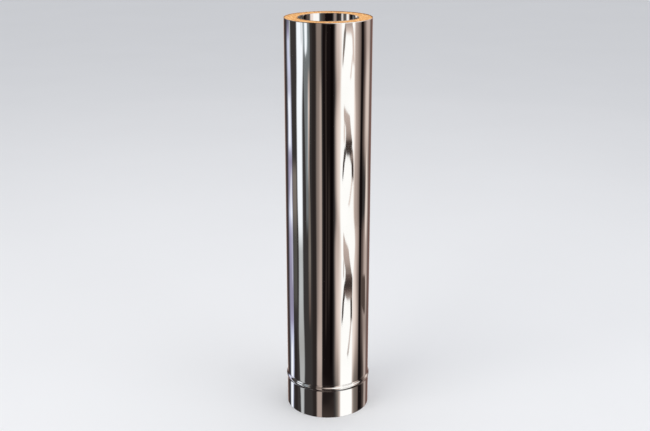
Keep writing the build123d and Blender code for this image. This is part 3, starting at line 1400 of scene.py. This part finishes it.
@dataclass
class Studio:
    """Pale floor, soft lights, the rings of cards, and the camera at the photograph's viewing angle."""

    shell_radius: float
    shell_length: float
    bore_radius: float
    flue_top: float
    shell_tint: Colour
    flue_tint: Colour
    camera_distance: float = 2.5048
    camera_height: float = 1.3872
    pitch_deg: float = 18.786
    yaw_deg: float = 0.179
    lens_mm: float = 56.02
    sensor_mm: float = 36.0
    floor_half: float = 14.0
    floor_steps: int = 8
    floor_greys: tuple[float, float] = (0.84, 0.87)
    air_colour: Colour = (0.93, 0.95, 1.0)
    air_strength: float = 0.75
    card_lip: float = 0.012
    ring_radius: float = 4.0
    card_step: float = 10 * MM
    # Gap between the flue's bore and the glowing sheet of painted reflection inside it.
    reflection_sheet_gap: float = 1.5 * MM
    lights: tuple[SoftLight, ...] = (
        SoftLight("key_light", (-2.2, -2.0, 3.6), (0.0, 0.0, 0.4), 2.6, 2.6, 48.0, (1.0, 0.98, 0.95)),
        SoftLight("fill_light", (2.6, -1.6, 2.8), (0.0, 0.0, 0.5), 2.4, 2.4, 20.0, (0.95, 0.97, 1.0)),
        SoftLight("top_light", (0.0, 0.6, 3.6), (0.0, 0.0, 0.8), 3.0, 3.0, 18.0),
    )

    def build(self) -> None:
        """Makes everything round the pipe."""
        self.make_floor()
        self.make_world()
        self.make_camera()
        self.make_cards()
        for light in self.lights:
            light.build()
        bpy.context.scene.view_settings.view_transform = "Standard"

    def make_cards(self) -> None:
        """Stands the ring of cards up, each card a little nearer than the last, and puts a glowing sheet of
        painted reflection inside the flue.
        """
        view = View(self.camera_distance, self.camera_height)
        glow = self.glow_material("card_glow")
        ring = MirrorChart(view, self.shell_radius, self.shell_length, self.ring_radius)
        for order, card in enumerate(bands() + self.caps()):
            card.build(ring.nearer(self.card_step * order), glow, self.shell_tint)
        bore = BoreChart(view, self.bore_radius, self.flue_top, self.bore_radius - self.reflection_sheet_gap)
        # Painted reflection: a glowing sheet just inside the flue's bore, which its far wall mirrors.
        FlueReflectionSheet().build(bore, self.glow_material("flue_reflection_glow", one_sided=True), self.flue_tint)

    def caps(self) -> list[StripCard]:
        """Makes the cards that the beads mirror: light above the pipe's level, and dim ground below it.

        Returns:
            The cards, back to front.
        """
        lip = self.card_lip
        above, end = self.shell_length + lip, self.shell_length + RUN_ON
        glow_rows = ((above, -12.0, 86.0), (end, -12.0, 86.0))
        core_rows = ((above, 3.0, 50.0), (end, 3.0, 50.0))
        left_rows = ((above, -80.0, -30.0), (end, -80.0, -30.0))
        dim_rows = ((-RUN_ON, -92.0, 92.0), (-0.01, -92.0, 92.0))
        dim_tones = ((-0.16, Tone.UMBER), (-0.12, Tone.BLACK))
        ground_rows = ((-RUN_ON, -20.0, 14.0), (-0.12, -20.0, 14.0))
        return [
            StripCard("high_glow", glow_rows, Tone.SAND, soft=(14.0, 8.0), ends=lip, cover=0.9),
            StripCard("high_glow_core", core_rows, Tone.WHITE, soft=(7.0, 5.0), ends=lip),
            StripCard("high_glow_left", left_rows, Tone.STONE, soft=(6.0, 8.0), ends=lip, cover=0.8),
            StripCard("dim_ground", dim_rows, dim_tones, soft=(0.0, 0.0), ends=0.03, cover=0.75),
            StripCard("ground_glow", ground_rows, Tone.TAUPE, soft=(10.0, 10.0), ends=0.02, cover=0.8),
        ]

    def glow_material(self, name: str, one_sided: bool = False) -> bpy.types.Material:
        """Makes the glow of the cards: the light and cover stored in each card's vertices.

        Args:
            name: Name of the material.
            one_sided: Whether the back of a card lets everything through.

        Returns:
            The new material.
        """
        material = bpy.data.materials.new(name)
        material.use_nodes = True
        material.node_tree.nodes.clear()
        table = NodeTable(material.node_tree)
        stored = table.add("ShaderNodeAttribute", {"attribute_name": "glow"})
        glow = table.add("ShaderNodeEmission", Color=stored.outputs["Color"], Strength=1.0)
        clear = table.add("ShaderNodeBsdfTransparent")
        cover = stored.outputs["Alpha"]
        if one_sided:
            geometry = table.add("ShaderNodeNewGeometry")
            cover = table.math("SUBTRACT", cover, geometry.outputs["Backfacing"], clamp=True)
        mixed = table.add("ShaderNodeMixShader", Fac=cover)
        table.feed(mixed.inputs[1], clear.outputs[0])
        table.feed(mixed.inputs[2], glow.outputs[0])
        table.add("ShaderNodeOutputMaterial", Surface=mixed.outputs[0])
        material.cycles.emission_sampling = "NONE"
        return material

    def make_floor(self) -> None:
        """Lays a large pale floor that the steel doesn't mirror."""
        steps = self.floor_steps
        line = np.linspace(-self.floor_half, self.floor_half, steps + 1)
        x, y = np.meshgrid(line, line)
        points = np.stack([x.ravel(), y.ravel(), np.zeros(x.size)], axis=1)
        start = np.arange(steps)[:, None] * (steps + 1) + np.arange(steps)[None, :]
        corners = [start, start + 1, start + steps + 2, start + steps + 1]
        floor = mesh_piece("studio_floor", points, np.stack(corners, axis=-1).reshape(-1, 4))
        material, table, shader = new_material("pale_floor")
        place = table.add("ShaderNodeTexCoord").outputs["Object"]
        blotch = table.noise(place, 1.5, 3.0, 0.5)
        darker, paler = (opaque((level, level, level)) for level in self.floor_greys)
        table.feed(shader.inputs["Base Color"], table.mix_colour(blotch, darker, paler))
        shader.inputs["Roughness"].default_value = 0.9
        shader.inputs["Specular IOR Level"].default_value = 0.1
        floor.data.materials.append(material)
        floor.visible_glossy = False
        floor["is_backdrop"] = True

    def make_world(self) -> None:
        """Gives an even pale light from all round, not mirrored in the steel."""
        world = bpy.data.worlds.new("studio_air")
        world.use_nodes = True
        background = world.node_tree.nodes["Background"]
        background.inputs["Color"].default_value = opaque(self.air_colour)
        background.inputs["Strength"].default_value = self.air_strength
        world.cycles_visibility.glossy = False
        bpy.context.scene.world = world

    def make_camera(self) -> None:
        """Puts the camera where the photograph was taken from."""
        data = bpy.data.cameras.new("photo_camera")
        data.lens = self.lens_mm
        data.sensor_width = self.sensor_mm
        camera = bpy.data.objects.new("photo_camera", data)
        camera.location = (0.0, -self.camera_distance, self.camera_height)
        camera.rotation_euler = (math.radians(90.0 - self.pitch_deg), 0.0, math.radians(self.yaw_deg))
        bpy.context.scene.collection.objects.link(camera)
        bpy.context.scene.camera = camera


def mount_size(name: str, measure: str) -> float:
    """Reads a mount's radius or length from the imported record, in metres."""
    return next(m["dims"][measure] * MM for m in frame["record"]["mounts"] if m["name"] == name)


def main() -> None:
    """Builds the pieces in order, dresses them and sets up the studio."""
    logging.basicConfig(level=logging.INFO, format="%(message)s")
    cad_low, cad_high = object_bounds()
    flue_low, flue_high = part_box("flue_pipe")
    wool_low, wool_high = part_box("insulation")
    shell_radius = mount_size("shell_top", "r_mm")
    bore_radius = mount_size("flue_bore", "r_mm")
    shell_steel = PolishedSteel(
        "polished_shell_steel", shell_radius, tint=(0.86, 0.83, 0.81), cloudy_tint=(0.83, 0.80, 0.77),
        clear_roughness=0.02, cloudy_roughness=0.06, line_depth=0.0015 * MM,
    )
    flue_steel = PolishedSteel(
        "bright_flue_steel", bore_radius, tint=(0.80, 0.75, 0.71), cloudy_tint=(0.72, 0.66, 0.61),
        clear_roughness=0.03, cloudy_roughness=0.08, line_depth=0.0012 * MM,
    )
    parts = [
        OuterShell(
            length=cad_high.z, radius=shell_radius,
            socket_radius=mount_size("shell_socket", "r_mm") + SHELL_SHEET,
            socket_depth=mount_size("shell_socket", "length_mm"), finish=shell_steel,
        ),
        FluePipe(
            bore_radius=bore_radius, spigot_radius=mount_size("flue_spigot", "r_mm"), bottom=flue_low.z,
            top=flue_high.z, spigot_top=wool_low.z, finish=flue_steel,
        ),
        WoolPacking(
            inner_radius=bore_radius + WOOL_INSET, outer_radius=wool_high.x,
            bottom=wool_low.z, top=wool_high.z,
        ),
    ]
    for part in parts:
        piece = part.build()
        LOG.info("%s: %d faces", piece.name, len(piece.data.polygons))
    Studio(
        shell_radius=shell_radius, shell_length=cad_high.z, bore_radius=bore_radius, flue_top=flue_high.z,
        shell_tint=shell_steel.tint, flue_tint=flue_steel.tint,
    ).build()


if __name__ == "__main__":
    main()
